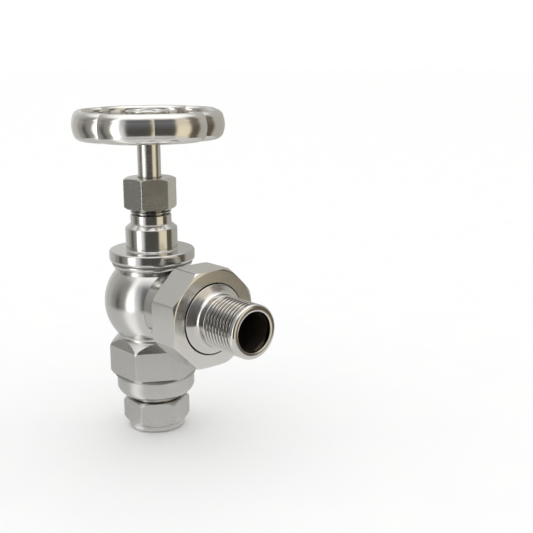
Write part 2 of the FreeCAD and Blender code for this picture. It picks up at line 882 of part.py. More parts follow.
def make_spindle():
    """Spindle: button, neck, shoulder, thread, plain rod and the square for the handwheel."""
    body = new_body("spindle")
    neck_low = d.button_low + 1.6
    shoulder = d.button_low + 4.2
    rod = d.screw_radius - 1.6
    tapped = 2.05
    revolve(
        body,
        "turning",
        [
            (0, d.button_low),
            (d.button_radius - 0.3, d.button_low),
            (d.button_radius, d.button_low + 0.3),
            (d.button_radius, neck_low),
            (d.button_neck, neck_low),
            (d.button_neck, shoulder),
            (rod, shoulder),
            (rod, d.screw_low - 0.6),
            (d.screw_radius - 0.8, d.screw_low),
            (d.screw_radius, d.screw_low + 0.1),
            *thread(d.screw_radius, d.screw_low + 0.2, d.screw_top, d.screw_pitch),
            (d.screw_radius, d.screw_top - 0.3),
            (d.spindle_radius, d.screw_top + 0.5),
            (d.spindle_radius, d.spindle_top - 0.4),
            (d.spindle_radius - 0.4, d.spindle_top),
            (0, d.spindle_top),
        ],
    )
    square_corner = d.square_flat * math.sqrt(2)
    cut_flats(body, "square", polygon(4, square_corner, 45), square_corner, d.square_low, d.spindle_top)
    groove(
        body,
        "tapped_hole",
        [
            (0, d.square_low),
            (tapped, d.square_low + 0.8),
            (tapped, d.spindle_top + 1),
            (0, d.spindle_top + 1),
        ],
    )
    place(body, turn=d.wheel_turn)


def make_handwheel():
    """Handwheel: one lobe of the rim repeated round the axis, then hub, spokes and square hole."""
    body = new_body("handwheel")
    offset = d.wheel_radius - d.lobe_radius
    middle = math.radians(MIDDLE)
    inner = d.lobe_radius - d.rim_thickness
    top = d.wheel_height
    sketch = new_sketch(
        body,
        "lobe_outline",
        "XZ_Plane",
        shift=(offset * math.cos(middle), 0, offset * -math.sin(middle)),
        turn=MIDDLE,
    )
    draw_outline(
        sketch,
        [
            (inner + 1.9, 0),
            (d.lobe_radius - 0.5, 2.8, 3.5),
            (d.lobe_radius - 0.5, top - 2.8, 8.6),
            (inner + 2.4, top, 3.4),
            (inner + 1.6, top),
            (inner, top - 1.7, 1.8),
            (inner, 1.6),
            (inner + 1.5, 0, 1.6),
        ],
    )
    lobe = body.newObject("PartDesign::Revolution", "handwheel_lobe")
    lobe.Profile = sketch
    lobe.ReferenceAxis = (sketch, ["V_Axis"])
    lobe.Angle = 130
    lobe.Midplane = True
    doc.recompute()

    reach = 60.0
    last = math.radians(2 * MIDDLE)
    wedge = new_sketch(body, "wedge_outline", "XY_Plane", shift=(0, 0, top + 1))
    draw_outline(
        wedge,
        [
            (0, 0),
            (reach * math.cos(last), reach * math.sin(last)),
            (-reach, reach),
            (-reach, -reach),
            (reach, -reach),
            (reach, 0),
        ],
    )
    pocket(body, "wedge", wedge, top + 2)
    polar_pattern(body, "rim", LOBES)

    revolve(
        body,
        "hub",
        [
            (0, 1.05),
            (6.6, 1.05),
            (7.4, 1.85),
            (7.4, 3.6),
            (d.hub_radius, d.hub_top - 2.6, -4.0),
            (d.hub_radius, d.hub_top - 0.6),
            (d.hub_radius - 0.6, d.hub_top, 0.6),
            (0, d.hub_top),
        ],
    )

    half = (d.spoke_width - d.spoke_height) * 0.5
    low = d.hub_top - 0.9 - d.spoke_height
    spoke_start = 6.0
    spoke_end = d.wheel_radius - 5.5
    section = new_sketch(body, "spoke_outline", "YZ_Plane", shift=(0, 0, spoke_start))
    radius = d.spoke_height * 0.5
    draw_outline(
        section,
        [
            (half, low),
            (half + radius, low + radius, radius),
            (half, low + d.spoke_height, radius),
            (-half, low + d.spoke_height),
            (-half - radius, low + radius, radius),
            (-half, low, radius),
        ],
    )
    spoke = pad(body, "spoke", section, spoke_end - spoke_start)
    polar_pattern(body, "spokes", SPOKES, spoke)

    hole = d.square_flat + d.fit_gap
    shoulder = d.square_low - d.wheel_low
    shoulder_hole = d.spindle_radius + d.fit_gap
    square = new_sketch(body, "square_outline", "XY_Plane", shift=(0, 0, d.hub_top + 1))
    draw_outline(square, polygon(4, hole * math.sqrt(2), 45))
    pocket(body, "square_hole", square, d.hub_top + 1 - shoulder)
    groove(body, "shoulder_hole", [(0, 0), (shoulder_hole, 0), (shoulder_hole, shoulder), (0, shoulder)])
    place(body, d.wheel_low, turn=d.wheel_turn)


def make_hub_plate():
    """Dished plate on the hub, under the screw's head."""
    body = new_body("hub_plate")
    hole = 2.1
    edge = 1.6
    revolve(
        body,
        "turning",
        [
            (hole, 0),
            (d.plate_radius, 0),
            (d.plate_radius, edge - 0.5),
            (d.plate_radius - 0.5, edge, 0.5),
            (d.plate_radius - 1.1, edge),
            (d.plate_radius - 2.0, d.plate_floor, -12.0),
            (hole, d.plate_floor),
        ],
    )
    place(body, d.wheel_low + d.hub_top)


def make_handwheel_screw():
    """Low round-headed screw with a hexagon socket."""
    body = new_body("handwheel_screw")
    shank = 2.0
    tip = -5.6
    head_radius = 3.8
    head_top = d.plate_floor + 0.9
    socket_corner = as_size(1.45)
    revolve(
        body,
        "turning",
        [
            (0, tip),
            (shank - 0.4, tip),
            (shank, tip + 0.4),
            (shank, d.plate_floor),
            (head_radius, d.plate_floor),
            (head_radius, d.plate_floor + 0.2),
            (head_radius - 1.2, head_top, 2.6),
            (0, head_top),
        ],
    )
    socket = new_sketch(body, "socket_outline", "XY_Plane", shift=(0, 0, head_top))
    draw_outline(socket, polygon(6, socket_corner))
    pocket(body, "socket", socket, 1.3)
    place(body, d.wheel_low + d.hub_top, turn=d.wheel_turn)


# ---- build, check and write ------------------------------------------------------------------------

PART_MAKERS = [
    make_valve_body,
    make_bonnet,
    make_bonnet_gasket,
    make_packing,
    make_gland_nut,
    make_compression_nut,
    make_olive,
    make_union_nut,
    make_union_tail,
    make_union_seal,
    make_disc_group,
    make_spindle,
    make_handwheel,
    make_hub_plate,
    make_handwheel_screw,
]


def sub_parts():
    """The objects that are written out: every body, and every Part primitive."""
    return [o for o in doc.Objects if o.TypeId in ("PartDesign::Body", "Part::Torus")]


def check_document():
    """Stop if any object failed or any sub-part has no valid shape."""
    failed = [o.Name for o in doc.Objects if {"Invalid", "Error"} & set(o.State)]
    if failed:
        raise RuntimeError("objects that failed: " + ", ".join(failed))
    for part in sub_parts():
        if part.Shape.isNull() or not part.Shape.isValid():
            raise RuntimeError(part.Label + " has no valid shape")


def write_parts():
    os.makedirs("parts", exist_ok=True)
    for part in sub_parts():
        part.Shape.exportStep(f"parts/{part.Label}.step")
        box = part.Shape.BoundBox
        size = f"{box.XLength:6.2f} x {box.YLength:6.2f} x {box.ZLength:6.2f} mm"
        print(f"{part.Label:18s} {len(part.Shape.Solids)} solid {part.Shape.Volume:9.1f} mm3 {size}")


for make_part in PART_MAKERS:
    make_part()
doc.recompute()
check_document()
write_parts()
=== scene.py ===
"""Looks of the angle radiator valve: plated metal finishes, cut threads, and a pale studio."""

import json
import math

import bmesh
import bpy
from mathutils import Matrix, Vector


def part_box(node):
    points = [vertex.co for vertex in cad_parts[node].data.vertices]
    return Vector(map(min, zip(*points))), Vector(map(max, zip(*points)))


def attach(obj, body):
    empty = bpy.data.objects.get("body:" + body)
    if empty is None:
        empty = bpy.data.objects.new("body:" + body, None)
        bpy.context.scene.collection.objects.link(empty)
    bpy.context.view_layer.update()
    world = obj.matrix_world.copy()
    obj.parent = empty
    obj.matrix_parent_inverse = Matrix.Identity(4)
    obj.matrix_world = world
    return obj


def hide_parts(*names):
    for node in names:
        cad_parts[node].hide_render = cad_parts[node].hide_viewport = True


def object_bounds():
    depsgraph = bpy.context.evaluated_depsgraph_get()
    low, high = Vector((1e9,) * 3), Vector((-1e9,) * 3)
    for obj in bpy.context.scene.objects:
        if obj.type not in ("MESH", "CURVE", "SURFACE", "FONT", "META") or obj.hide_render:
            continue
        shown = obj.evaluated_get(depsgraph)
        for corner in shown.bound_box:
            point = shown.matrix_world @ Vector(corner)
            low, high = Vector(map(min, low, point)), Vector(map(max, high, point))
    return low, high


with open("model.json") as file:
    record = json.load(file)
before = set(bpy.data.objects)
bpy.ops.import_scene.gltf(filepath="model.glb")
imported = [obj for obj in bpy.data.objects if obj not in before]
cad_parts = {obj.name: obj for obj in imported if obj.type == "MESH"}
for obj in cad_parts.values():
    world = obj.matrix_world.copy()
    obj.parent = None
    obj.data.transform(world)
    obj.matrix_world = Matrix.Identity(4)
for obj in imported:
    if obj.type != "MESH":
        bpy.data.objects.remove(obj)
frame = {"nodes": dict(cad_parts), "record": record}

MM = 0.001
cad_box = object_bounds()
outlet_height = frame["record"]["mounts"][1]["pos_m"][2]


# ---- shader helpers --------------------------------------------------------------------------------


class Shader:
    """A material's node tree with short calls for the nodes that the finishes use."""

    def __init__(self, name, colour, metallic, roughness):
        self.material = bpy.data.materials.new(name)
        self.material.use_nodes = True
        self.nodes = self.material.node_tree.nodes
        self.links = self.material.node_tree.links
        self.surface = self.nodes["Principled BSDF"]
        self.surface.inputs["Base Color"].default_value = (*colour, 1)
        self.surface.inputs["Metallic"].default_value = metallic
        self.surface.inputs["Roughness"].default_value = roughness

    def put(self, value, socket):
        if isinstance(value, bpy.types.NodeSocket):
            self.links.new(value, socket)
        else:
            socket.default_value = value

    def maths(self, operation, first, second=0.0):
        node = self.nodes.new("ShaderNodeMath")
        node.operation = operation
        self.put(first, node.inputs[0])
        self.put(second, node.inputs[1])
        return node.outputs[0]

    def combine(self, x, y, z):
        node = self.nodes.new("ShaderNodeCombineXYZ")
        for value, socket in zip((x, y, z), node.inputs):
            self.put(value, socket)
        return node.outputs[0]

    def place(self):
        """Coordinates in metres in the part's own frame, as three sockets."""
        texture = self.nodes.new("ShaderNodeTexCoord")
        split = self.nodes.new("ShaderNodeSeparateXYZ")
        self.links.new(texture.outputs["Object"], split.inputs[0])
        return split.outputs

    def normal(self):
        """Surface direction in the part's own frame, as three sockets."""
        texture = self.nodes.new("ShaderNodeTexCoord")
        split = self.nodes.new("ShaderNodeSeparateXYZ")
        self.links.new(texture.outputs["Normal"], split.inputs[0])
        return split.outputs

    def noise(self, vector, scale, detail=2.0):
        node = self.nodes.new("ShaderNodeTexNoise")
        node.noise_dimensions = "4D"
        self.put(vector, node.inputs["Vector"])
        node.inputs["Scale"].default_value = scale
        node.inputs["Detail"].default_value = detail
        return node.outputs["Fac"]

    def spread(self, value, low, high, from_low=0.3, from_high=0.7):
        """Map a value to the range from low to high; unless told otherwise, the value is a noise."""
        node = self.nodes.new("ShaderNodeMapRange")
        self.put(value, node.inputs["Value"])
        node.inputs["From Min"].default_value = from_low
        node.inputs["From Max"].default_value = from_high
        node.inputs["To Min"].default_value = low
        node.inputs["To Max"].default_value = high
        return node.outputs[0]

    def blend(self, factor, dark, light):
        node = self.nodes.new("ShaderNodeMix")
        node.data_type = "RGBA"
        self.put(factor, node.inputs["Factor"])
        for colour, socket in ((dark, node.inputs["A"]), (light, node.inputs["B"])):
            self.put((*colour, 1) if isinstance(colour, tuple) else colour, socket)
        return node.outputs["Result"]

    def crevices(self, distance):
        """How open the surface is within that distance: 1 where it is free, less in a corner."""
        node = self.nodes.new("ShaderNodeAmbientOcclusion")
        node.samples = 8
        node.inputs["Distance"].default_value = distance
        return node.outputs["AO"]

    def bump(self, height, strength, distance):
        node = self.nodes.new("ShaderNodeBump")
        node.inputs["Strength"].default_value = strength
        node.inputs["Distance"].default_value = distance
        self.put(height, node.inputs["Height"])
        self.links.new(node.outputs["Normal"], self.surface.inputs["Normal"])


def radius_about(shader, side, up):
    """Distance from an axis, from the two coordinates across it."""
    square = shader.maths("ADD", shader.maths("MULTIPLY", side, side), shader.maths("MULTIPLY", up, up))
    return shader.maths("SQRT", square)


def turning_coordinates(shader, axis):
    """Two coordinates round the spindle ("Z") or outlet ("X"), and one along it or, on end faces, outward."""
    x, y, z = shader.place()
    facing = shader.normal()["XYZ".index(axis)]
    if axis == "X":
        along, side, up = x, y, shader.maths("SUBTRACT", z, outlet_height)
    else:
        along, side, up = z, x, y
    radius = shader.maths("MAXIMUM", radius_about(shader, side, up), SMALLEST_RADIUS)
    is_end_face = shader.maths("GREATER_THAN", shader.maths("ABSOLUTE", facing), END_FACE)
    outward = shader.maths("MULTIPLY", is_end_face, shader.maths("SUBTRACT", radius, along))
    travel = shader.maths("ADD", along, outward)
    return shader.maths("DIVIDE", side, radius), shader.maths("DIVIDE", up, radius), travel


def turned_metal(name, dark, light, roughness, axis="Z", brush=0.25, spread=0.02, polish=None, grooves=None):
    """Metal with fine rings left by turning or brushing round an axis, and faint cloudy variation.

    Polish gives a height above which the metal is smoother, and its roughness there. Grooves gives the radii
    of the thread's root and crest about the outlet: painted shade darkens the metal towards the root. Narrow
    crevices are darkened with painted shade too.
    """
    shader = Shader(name, light, 1.0, roughness)
    side, up, travel = turning_coordinates(shader, axis)
    vector = shader.combine(
        shader.maths("MULTIPLY", side, RING_STRETCH),
        shader.maths("MULTIPLY", up, RING_STRETCH),
        shader.maths("MULTIPLY", travel, RING_GRAIN),
    )
    rings = shader.noise(vector, 1.0)
    x, y, z = shader.place()
    cloud = shader.noise(shader.combine(x, y, z), CLOUD_GRAIN, detail=3.0)
    level = shader.maths("ADD", shader.spread(rings, -spread, spread), shader.spread(cloud, -spread, spread))
    colour = shader.blend(shader.spread(rings, 0.0, 1.0), dark, light)
    if polish is not None:
        height, smooth = polish
        change = (height - POLISH_EDGE, height + POLISH_EDGE)
        roughness = shader.spread(z, roughness, smooth, *change)
        colour = shader.blend(shader.spread(z, DULLING, 0.0, *change), colour, (0, 0, 0))
    if grooves is not None:
        rise = shader.maths("SUBTRACT", z, outlet_height)
        shade = shader.spread(radius_about(shader, y, rise), 0.0, 1.0, *grooves)
        after_start = shader.spread(x, 0.0, 1.0, *GROOVE_START)
        before_end = shader.spread(x, 1.0, 0.0, *GROOVE_END)
        threaded = shader.maths("MULTIPLY", after_start, before_end)
        depth = shader.maths("MULTIPLY", threaded, shader.maths("SUBTRACT", 1.0, shade))
        # Painted shade: the metal darkens towards the thread's root.
        colour = shader.blend(depth, colour, PAINTED_SHADE)
    shader.put(shader.maths("ADD", level, roughness), shader.surface.inputs["Roughness"])
    # Painted shade: the colour is darker in narrow crevices, where the surface is less open.
    crevice_shade = shader.spread(shader.crevices(CREVICE_WIDTH), CREVICE_SHARE, 0.0, *CREVICE_RANGE)
    shader.put(shader.blend(crevice_shade, colour, PAINTED_SHADE), shader.surface.inputs["Base Color"])
    shader.bump(rings, brush, RING_HEIGHT)
    return shader.material


def soft_material(name, dark, light, roughness, scale, bump):
    """Rubber, fibre or graphite: a fine grain and no metal."""
    shader = Shader(name, light, 0.0, roughness)
    x, y, z = shader.place()
    grain = shader.noise(shader.combine(x, y, z), scale, detail=4.0)
    shader.put(shader.blend(shader.spread(grain, 0.0, 1.0), dark, light), shader.surface.inputs["Base Color"])
    low, high = roughness - SOFT_SPREAD, roughness + SOFT_SPREAD
    shader.put(shader.spread(grain, low, high), shader.surface.inputs["Roughness"])
    shader.bump(grain, SOFT_BUMP, bump)
    return shader.material


THREAD_CREST = 10.4775 * MM
THREAD_DEPTH = 1.16 * MM
NUT_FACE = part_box("union_nut")[1].x
TAIL_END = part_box("union_tail")[1].x

# Marks of turning: fineness along and round the axis, and height.
RING_GRAIN = 6000.0
RING_STRETCH = 2.2
RING_HEIGHT = 2e-6
END_FACE = 0.75  # share of the normal that lies along the axis
SMALLEST_RADIUS = 1e-5
CLOUD_GRAIN = 90.0

# How far the roughness of rubber, fibre and graphite varies, and how strong their grain is.
SOFT_SPREAD = 0.08
SOFT_BUMP = 0.4

# The bulb is polished and the hexagon is duller; both meet at the waist.
WAIST = 40.2 * MM
POLISH_EDGE = 1.5 * MM
DULLING = 0.1

# Painted shade in the thread's grooves and in narrow crevices.
PAINTED_SHADE = (0.07, 0.065, 0.055)
GROOVE_START = (NUT_FACE + 5.6 * MM, NUT_FACE + 6.4 * MM)
GROOVE_END = (TAIL_END - 2.2 * MM, TAIL_END - 1.4 * MM)
GROOVE_WALL = (THREAD_CREST - 0.8 * THREAD_DEPTH, THREAD_CREST - 0.2 * THREAD_DEPTH)
CREVICE_WIDTH = 1.3 * MM
CREVICE_SHARE = 0.8
CREVICE_RANGE = (0.35, 0.85)

NICKEL = ((0.67, 0.66, 0.635), (0.70, 0.69, 0.665))
DULL_NICKEL = ((0.58, 0.57, 0.55), (0.60, 0.59, 0.57))
NUT_NICKEL = ((0.72, 0.70, 0.66), (0.735, 0.715, 0.675))
ROD_NICKEL = ((0.68, 0.665, 0.63), (0.78, 0.76, 0.72))
SIDE_NICKEL = ((0.77, 0.755, 0.725), (0.80, 0.785, 0.755))
TAIL_NICKEL = ((0.74, 0.72, 0.69), (0.76, 0.74, 0.71))
BRIGHT_NICKEL = ((0.76, 0.74, 0.705), (0.78, 0.76, 0.725))

satin = turned_metal("satin_nickel", *DULL_NICKEL, 0.28, brush=0.05)
satin_body = turned_metal("satin_nickel_body", *NICKEL, 0.26, brush=0.04, polish=(WAIST, 0.19))
satin_side = turned_metal("satin_nickel_outlet", *SIDE_NICKEL, 0.19, axis="X", brush=0.1)
satin_bright = turned_metal("satin_nickel_bright", *NICKEL, 0.14, brush=0.15)
satin_rod = turned_metal("satin_nickel_rod", *ROD_NICKEL, 0.21, brush=0.3, spread=0.04)
satin_nut = turned_metal("satin_nickel_nut", *NUT_NICKEL, 0.25, brush=0.0)
bright_side = turned_metal(
    "nickel_tail", *TAIL_NICKEL, 0.10, axis="X", brush=0.04, spread=0.01, grooves=GROOVE_WALL
)
polished = turned_metal("polished_nickel", *BRIGHT_NICKEL, 0.15, brush=0.0, spread=0.01)
tail_bore_metal = turned_metal("tail_bore", (0.16, 0.12, 0.10), (0.24, 0.19, 0.16), 0.5, axis="X", brush=0.4)
brass = turned_metal("bare_brass", (0.62, 0.44, 0.18), (0.78, 0.58, 0.27), 0.28)
steel = turned_metal("stainless", (0.60, 0.60, 0.60), (0.70, 0.70, 0.69), 0.22)
rubber = soft_material("rubber", (0.025, 0.025, 0.028), (0.05, 0.05, 0.055), 0.6, 1500.0, 2e-5)
graphite = soft_material("packing", (0.04, 0.04, 0.045), (0.10, 0.10, 0.11), 0.45, 2500.0, 4e-5)
fibre = soft_material("fibre", (0.22, 0.21, 0.20), (0.36, 0.35, 0.33), 0.7, 2200.0, 4e-5)

FINISHES = {
    "satin_nickel": satin,
    "polished_nickel": polished,
    "nickel_tail": bright_side,
    "bare_brass": brass,
    "stainless": steel,
    "rubber": rubber,
    "packing": graphite,
    "fibre": fibre,
}
OWN_FINISHES = {
    "valve_body": satin_body,
    "union_nut": satin_side,
    "bonnet": satin_bright,
    "spindle": satin_rod,
    "gland_nut": satin_nut,
}


def finish_frame():
    """Give every CAD node its own finish, or else the finish of its slot."""
    for entry in frame["record"]["subparts"]:
        node = frame["nodes"][entry["node"]]
        material = FINISHES[entry["material_slot"]]
        material = OWN_FINISHES.get(entry["node"], material)
        node.data.materials.clear()
        node.data.materials.append(material)


finish_frame()


# ---- radiator tail with a cut thread ---------------------------------------------------------------

THREAD_PITCH = 1.814 * MM
THREAD_FADE = 1.2 * MM
THREAD_START = 6.2 * MM  # after the union nut's face
THREAD_END = 1.6 * MM  # before the tail's end
THREAD_LEAD = 0.3 * MM  # the plain neck stops this far before the thread
FLANK_SLOPE = 1.3
FLANK_ROUNDING = 0.55
STEPS_A_TURN = 16
COLUMNS = 240
SHARP_ANGLE = math.radians(35)

TAIL_BORE = 7.85 * MM
TAIL_NECK = 10.25 * MM
SPIGOT_RADIUS = 11.0 * MM
SPIGOT_LENGTH = 3.8 * MM
SEAL_GROOVE = (0.6 * MM, 2.8 * MM)  # from the spigot's end
SEAL_FLOOR = 9.4 * MM
FLANGE_SETBACK = 3 * MM  # behind the union nut's face
COLLAR_RADIUS = 13.75 * MM
COLLAR_ROUNDING = 0.35 * MM

# On the cone between collar and neck, as distance from the union nut's face and radius.
TOOL_MARKS = 4
TOOL_MARK_START = (0.45 * MM, 13.25 * MM)
TOOL_MARK_STEP = (0.42 * MM, -0.47 * MM)
TOOL_MARK_SHAPE = [(0, 0), (0.06 * MM, -0.14 * MM), (0.2 * MM, -0.16 * MM)]
HOLLOW_START = (2.15 * MM, 11.35 * MM)
HOLLOW_MIDDLE = (4.0 * MM, 12.7 * MM)

RIM_ROUNDING = 1.1 * MM
LIP_ROUNDING = 0.25 * MM
LUG_FLAT = 7.1 * MM
LUG_MIDDLE = math.radians(34)
LUG_ENDS = (1.8 * MM, 8.0 * MM)  # before the tail's end
LUG_LEAD = 0.05 * MM
LUG_STEPS = 6
BORE_STEPS = 8
TINY_STEP = 0.02 * MM


def arc(start, end, middle, steps):
    """Points of the round stretch from start to end about a middle point, without the first."""
    first = math.atan2(start[1] - middle[1], start[0] - middle[0])
    last = math.atan2(end[1] - middle[1], end[0] - middle[0])
    turn = (last - first + math.pi) % (2 * math.pi) - math.pi
    near, far = math.dist(start, middle), math.dist(end, middle)
    points = []
    for i in range(1, steps + 1):
        part = i / steps
        angle = first + turn * part
        reach = near + (far - near) * part
        points.append((middle[0] + reach * math.cos(angle), middle[1] + reach * math.sin(angle)))
    return points


def thread_radius(along, angle, start, end):
    """Radius of the helical groove's surface: flanks at about 55 degrees, with rounded crest and root."""
    phase = (along / THREAD_PITCH - angle / (2 * math.pi)) % 1
    height = min(max(FLANK_SLOPE * (abs(phase - 0.5) * 2 - 0.5) + 0.5, 0.0), 1.0)
    smooth = height * height * (3 - 2 * height)
    height = (1 - FLANK_ROUNDING) * height + FLANK_ROUNDING * smooth
    fade = min((along - start) / THREAD_FADE, (end - along) / THREAD_FADE, 1.0)
    return THREAD_CREST - THREAD_DEPTH * (1 - height) * max(fade, 0.0)


def bore_radius(angle):
    """Radius of the bore where the two key lugs stand: flats across the round."""
    towards_flat = max(abs(math.cos(angle - LUG_MIDDLE)), 0.5)
    return min(TAIL_BORE, LUG_FLAT / towards_flat)


def tail_inlet(spigot, flange, flange_end):
    """Outline of the hidden end: the spigot with its seal groove, and the flange that holds the nut."""
    groove_start, groove_end = (spigot + step for step in SEAL_GROOVE)
    flange_start = spigot + SPIGOT_LENGTH
    return [
        (spigot, TAIL_BORE),
        (spigot, SPIGOT_RADIUS),
        (groove_start, SPIGOT_RADIUS),
        (groove_start, SEAL_FLOOR),
        (groove_end, SEAL_FLOOR),
        (groove_end, SPIGOT_RADIUS),
        (flange_start, SPIGOT_RADIUS),
        (flange_start, flange),
        (flange_end, flange),
        (flange_end, COLLAR_RADIUS),
    ]


def tail_shoulder(face):
    """Outline of the collar in the nut's mouth, the tool marks on its cone, and the curve into the neck."""
    edge = face - TINY_STEP
    inner = COLLAR_RADIUS - COLLAR_ROUNDING
    outline = [(edge, COLLAR_RADIUS)]
    outline += arc(outline[-1], (edge + COLLAR_ROUNDING, inner), (edge, inner), steps=4)
    for mark in range(TOOL_MARKS):
        x = face + TOOL_MARK_START[0] + TOOL_MARK_STEP[0] * mark
        r = TOOL_MARK_START[1] + TOOL_MARK_STEP[1] * mark
        outline += [(x + along, r + outward) for along, outward in TOOL_MARK_SHAPE]
    start = (face + HOLLOW_START[0], HOLLOW_START[1])
    middle = (face + HOLLOW_MIDDLE[0], HOLLOW_MIDDLE[1])
    outline += arc(start, (middle[0], TAIL_NECK), middle, steps=8)
    outline.append((face + THREAD_START - THREAD_LEAD, TAIL_NECK))
    return outline


def tail_thread(start, end):
    """Rows of the threaded length, whose radius depends on the angle."""
    steps = round((end - start) / THREAD_PITCH * STEPS_A_TURN)
    places = [start + (end - start) * i / steps for i in range(steps + 1)]
    return [(x, lambda angle, x=x: thread_radius(x, angle, start, end)) for x in places]


def tail_rim(end):
    """Outline of the open end: a rounded outer edge, the flat face and a small rounding into the bore."""
    edge = THREAD_CREST - RIM_ROUNDING
    lip = TAIL_BORE + LIP_ROUNDING
    outline = [(end - RIM_ROUNDING, THREAD_CREST)]
    outline += arc(outline[-1], (end, edge), (end - RIM_ROUNDING, edge), steps=7)
    outline.append((end, lip))
    outline += arc(outline[-1], (end - LIP_ROUNDING, TAIL_BORE), (end - LIP_ROUNDING, lip), steps=3)
    return outline


def tail_bore(end, spigot):
    """Rows of the bore, from the open end inward past the key lugs."""
    first, last = (end - step for step in LUG_ENDS)
    rows = [(first + TINY_STEP, TAIL_BORE), (first, bore_radius)]
    rows += [(first - LUG_LEAD - (first - last) * i / LUG_STEPS, bore_radius) for i in range(1, LUG_STEPS)]
    rows += [(last, bore_radius), (last - TINY_STEP, TAIL_BORE)]
    rows += [(last + (spigot - last) * i / BORE_STEPS, TAIL_BORE) for i in range(1, BORE_STEPS)]
    return rows


def tail_rows():
    """The tail's outline as (distance along X, radius or a function of angle, is in the bore)."""
    low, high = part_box("union_tail")
    flange = high.z - outlet_height
    outside = tail_inlet(low.x, flange, NUT_FACE - FLANGE_SETBACK)
    outside += tail_shoulder(NUT_FACE)
    outside += tail_thread(NUT_FACE + THREAD_START, TAIL_END - THREAD_END)
    outside += tail_rim(TAIL_END)
    rows = [(x, radius, False) for x, radius in outside]
    rows += [(x, radius, True) for x, radius in tail_bore(TAIL_END, low.x)]
    return rows


def make_tail():
    """One closed turned mesh with the thread as a true helix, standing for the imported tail."""
    rows = tail_rows()
    angles = [2 * math.pi * i / COLUMNS for i in range(COLUMNS)]
    vertices = []
    for along, radius, _ in rows:
        for angle in angles:
            r = radius(angle) if callable(radius) else radius
            vertices.append((along, r * math.sin(angle), outlet_height - r * math.cos(angle)))
    faces = []
    in_bore = []
    for j in range(len(rows)):
        k = (j + 1) % len(rows)
        for i in range(COLUMNS):
            n = (i + 1) % COLUMNS
            faces.append((j * COLUMNS + i, k * COLUMNS + i, k * COLUMNS + n, j * COLUMNS + n))
            in_bore.append(rows[j][2])
    mesh = bpy.data.meshes.new("threaded_tail")
    mesh.from_pydata(vertices, [], faces)
    mesh.materials.append(bright_side)
    mesh.materials.append(tail_bore_metal)
    mesh.polygons.foreach_set("material_index", [int(flag) for flag in in_bore])
    mesh.validate()
    bm = bmesh.new()
    bm.from_mesh(mesh)
    bmesh.ops.recalc_face_normals(bm, faces=bm.faces)
    bm.to_mesh(mesh)
    bm.free()
    mesh.shade_smooth()
    mesh.set_sharp_from_angle(angle=SHARP_ANGLE)
    tail = bpy.data.objects.new("threaded_tail", mesh)
    bpy.context.scene.collection.objects.link(tail)
    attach(tail, "valve")
    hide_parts("union_tail")
    return tail


tail = make_tail()


# ---- studio ----------------------------------------------------------------------------------------

CAMERA_AZIMUTH = 55.3
CAMERA_ELEVATION = 15.6
CAMERA_DISTANCE = 0.399
CAMERA_TARGET = Vector((0, 0, 0.0508))
CAMERA_YAW = -7.03
CAMERA_PITCH = 2.36
CAMERA_ROLL = 0.24
CAMERA_LENS = 64.1

BACKGROUND_STRENGTH = 1.07
KEY_AZIMUTH = CAMERA_AZIMUTH - 44
LIGHT_TARGET = Vector((0, 0, 0.07))

FLOOR_RADIUS = 6.0
FLOOR_GAP = 0.0002  # below the compression nut
FLOOR_GRAIN = 40.0
FLOOR_COLOURS = ((0.94, 0.94, 0.94), (0.955, 0.955, 0.95))
TABLE_RADIUS = 0.21
TABLE_DROP = 0.0005  # below the floor
DISC_SIDES = 96

# What the metal reflects: start and end in degrees to the camera's right, and the colour there, low and high.
# Neighbours blend into each other over about SCREEN_EDGE degrees.
SCREEN_EDGE = 9.0
SCREENS = [
    (-180, -145, (0.70, 0.70, 0.69), (0.62, 0.62, 0.62)),
    (-145, -118, (0.56, 0.56, 0.54), (0.50, 0.50, 0.48)),
    (-118, -100, (0.34, 0.33, 0.31), (0.42, 0.41, 0.38)),
    (-100, -86, (0.10, 0.10, 0.10), (0.38, 0.37, 0.35)),
    (-86, -66, (0.30, 0.29, 0.26), (0.32, 0.31, 0.29)),
    (-66, -48, (2.5, 2.5, 2.5), (1.4, 1.4, 1.4)),
    (-48, -32, (0.8, 0.8, 0.82), (0.50, 0.51, 0.53)),
    (-32, 34, (0.085, 0.08, 0.072), (0.17, 0.175, 0.19)),
    (32, 70, (0.95, 0.86, 0.66), (0.70, 0.65, 0.55)),
    (70, 99, (0.12, 0.10, 0.07), (0.22, 0.20, 0.18)),
    (99, 180, (0.48, 0.47, 0.43), (0.52, 0.52, 0.50)),
]

# Elevations in degrees, each with the share of the higher colour there.
LOW_TO_HIGH = [(-2, 0.0), (35, 1.0)]
HIGH_TO_OVERHEAD = [(38, 0.0), (66, 1.0)]
OVERHEAD = (1.4, 1.4, 1.4)

# The table top, and the pool of light on it, by degrees to the camera's right.
TABLE_BACK = (0.60, 0.60, 0.59)
TABLE_FRONT = (0.70, 0.70, 0.69)
TABLE_AZIMUTH = 15
TABLE_CHANGE = (-0.3, 0.3)  # cosines of the angle to TABLE_AZIMUTH
TABLE_MIDDLE = 0.001  # smallest radius that the azimuth is worked out for
POOL_AZIMUTH = -56
POOL_EDGE = (20, 4)
POOL_LIGHT = 0.42


def direction(azimuth, elevation):
    """Unit vector from the valve towards a viewer at that azimuth and elevation, in degrees."""
    a, e = math.radians(azimuth), math.radians(elevation)
    return Vector((math.sin(a) * math.cos(e), -math.cos(a) * math.cos(e), math.sin(e)))


